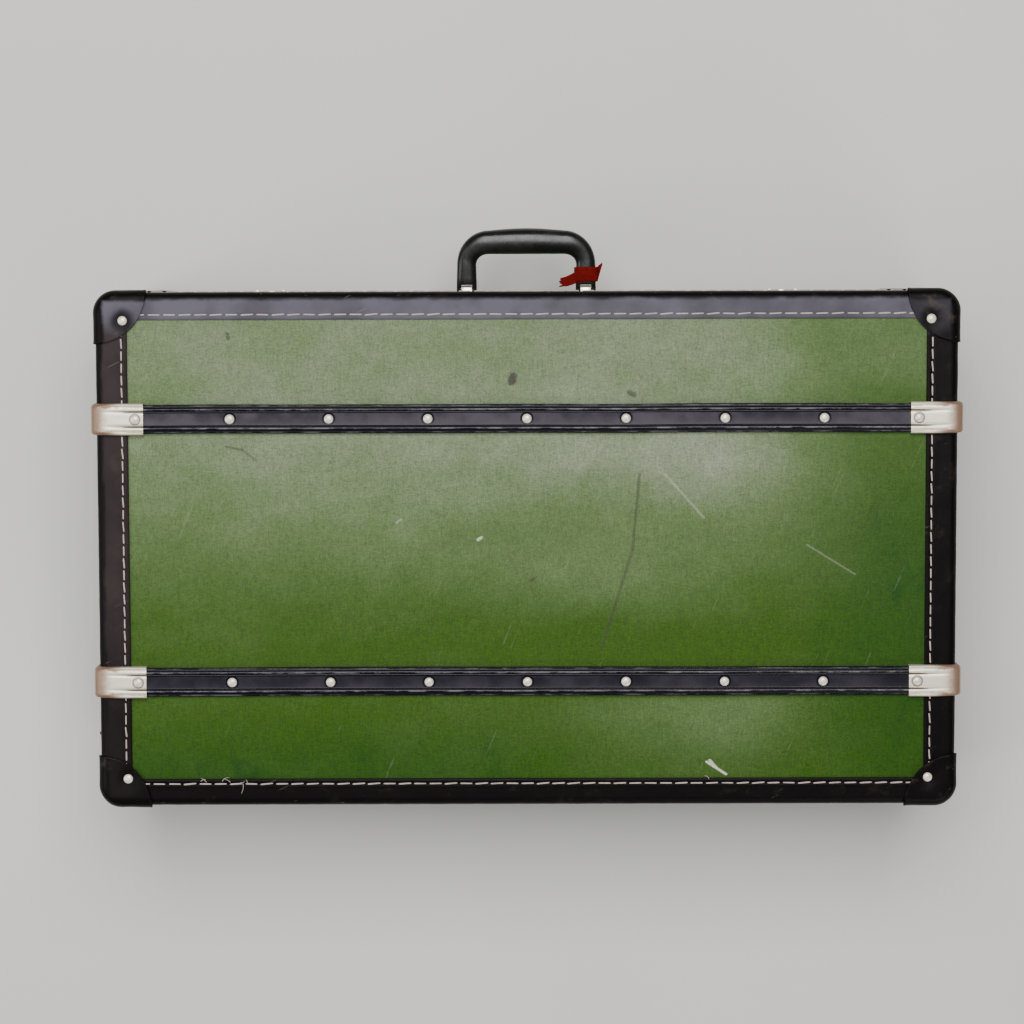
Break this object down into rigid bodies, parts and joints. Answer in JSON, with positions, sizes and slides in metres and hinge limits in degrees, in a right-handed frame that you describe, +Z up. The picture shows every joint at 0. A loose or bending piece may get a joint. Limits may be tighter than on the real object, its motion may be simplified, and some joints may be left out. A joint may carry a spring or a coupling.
{
  "type": "hard suitcase",
  "caption": "Old hard-shell suitcase in green fibre with black stitched edges, corner caps, ribbed slats with metal ends, a swinging handle and snap latches.",
  "frame": {"origin": "middle of the footprint, on the surface that the case lies on", "axes": "+X along the width, +Y towards the handle side, +Z up through the lid"},
  "size_m": [0.7588, 0.5094, 0.2168],
  "materials": {
    "green_fibre": "vulcanised fibre with a woven surface, faded and satin",
    "black_leather": "coated leathercloth, worn",
    "black_slat": "ribbed fibre strip, lacquered",
    "black_moulded": "moulded, glossy",
    "nickel": "nickel plate, worn and tarnished",
    "tongue_metal": "dull tinned strip",
    "lining_paper": "printed paper, matte",
    "red_ribbon": "woven ribbon, frayed"
  },
  "bodies": {
    "base": {"base_shell": "green_fibre", "base_edge_binding": "black_leather", "base_lining": "lining_paper", "base_corner_cap_front_left": "black_leather", "base_corner_cap_front_right": "black_leather", "base_corner_cap_rear_left": "black_leather", "base_corner_cap_rear_right": "black_leather", "base_corner_rivet_front_left": "nickel", "base_corner_rivet_front_right": "nickel", "base_corner_rivet_rear_left": "nickel", "base_corner_rivet_rear_right": "nickel", "base_front_slat": "black_slat", "base_front_slat_end_left": "nickel", "base_front_slat_end_right": "nickel", "base_front_slat_rivets": "nickel", "base_rear_slat": "black_slat", "base_rear_slat_end_left": "nickel", "base_rear_slat_end_right": "nickel", "base_rear_slat_rivets": "nickel", "base_rim_tongue": "tongue_metal", "handle_bracket_left": "nickel", "handle_pin_left": "nickel", "latch_plate_left": "nickel", "hinge_leaf_base_left": "nickel", "hinge_pin_left": "nickel", "handle_bracket_right": "nickel", "handle_pin_right": "nickel", "latch_plate_right": "nickel", "hinge_leaf_base_right": "nickel", "hinge_pin_right": "nickel"},
    "lid": {"lid_shell": "green_fibre", "lid_edge_binding": "black_leather", "lid_lining": "lining_paper", "lid_corner_cap_front_left": "black_leather", "lid_corner_cap_front_right": "black_leather", "lid_corner_cap_rear_left": "black_leather", "lid_corner_cap_rear_right": "black_leather", "lid_corner_rivet_front_left": "nickel", "lid_corner_rivet_front_right": "nickel", "lid_corner_rivet_rear_left": "nickel", "lid_corner_rivet_rear_right": "nickel", "lid_front_slat": "black_slat", "lid_front_slat_end_left": "nickel", "lid_front_slat_end_right": "nickel", "lid_front_slat_rivets": "nickel", "lid_rear_slat": "black_slat", "lid_rear_slat_end_left": "nickel", "lid_rear_slat_end_right": "nickel", "lid_rear_slat_rivets": "nickel", "latch_catch_left": "nickel", "hinge_leaf_lid_left": "nickel", "latch_catch_right": "nickel", "hinge_leaf_lid_right": "nickel"},
    "handle": {"handle_grip": "black_moulded", "luggage_ribbon": "red_ribbon"},
    "hasp_left": {"latch_hasp_left": "nickel"},
    "hasp_right": {"latch_hasp_right": "nickel"},
    "button_left": {"latch_button_left": "nickel"},
    "button_right": {"latch_button_right": "nickel"}
  },
  "joints": [
    {"name": "lid_open", "type": "hinge", "parent": "base", "child": "lid", "pos_m": [0, -0.2527, 0.1284], "axis": [1, 0, 0], "range_deg": [0, 170]},
    {"name": "handle_swing", "type": "hinge", "parent": "base", "child": "handle", "pos_m": [0, 0.2005, 0.1064], "axis": [1, 0, 0], "range_deg": [-75, 75]},
    {"name": "latch_left_hasp", "type": "hinge", "parent": "base", "child": "hasp_left", "pos_m": [-0.23, 0.1981, 0.1184], "axis": [-1, 0, 0], "range_deg": [0, 120]},
    {"name": "latch_left_button", "type": "slide", "parent": "base", "child": "button_left", "axis": [-1, 0, 0], "range_m": [0, 0.004], "stiffness_N_per_m": 300, "springref_m": -0.001},
    {"name": "latch_right_hasp", "type": "hinge", "parent": "base", "child": "hasp_right", "pos_m": [0.23, 0.1981, 0.1184], "axis": [-1, 0, 0], "range_deg": [0, 120]},
    {"name": "latch_right_button", "type": "slide", "parent": "base", "child": "button_right", "axis": [1, 0, 0], "range_m": [0, 0.004], "stiffness_N_per_m": 300, "springref_m": -0.001}
  ]
}
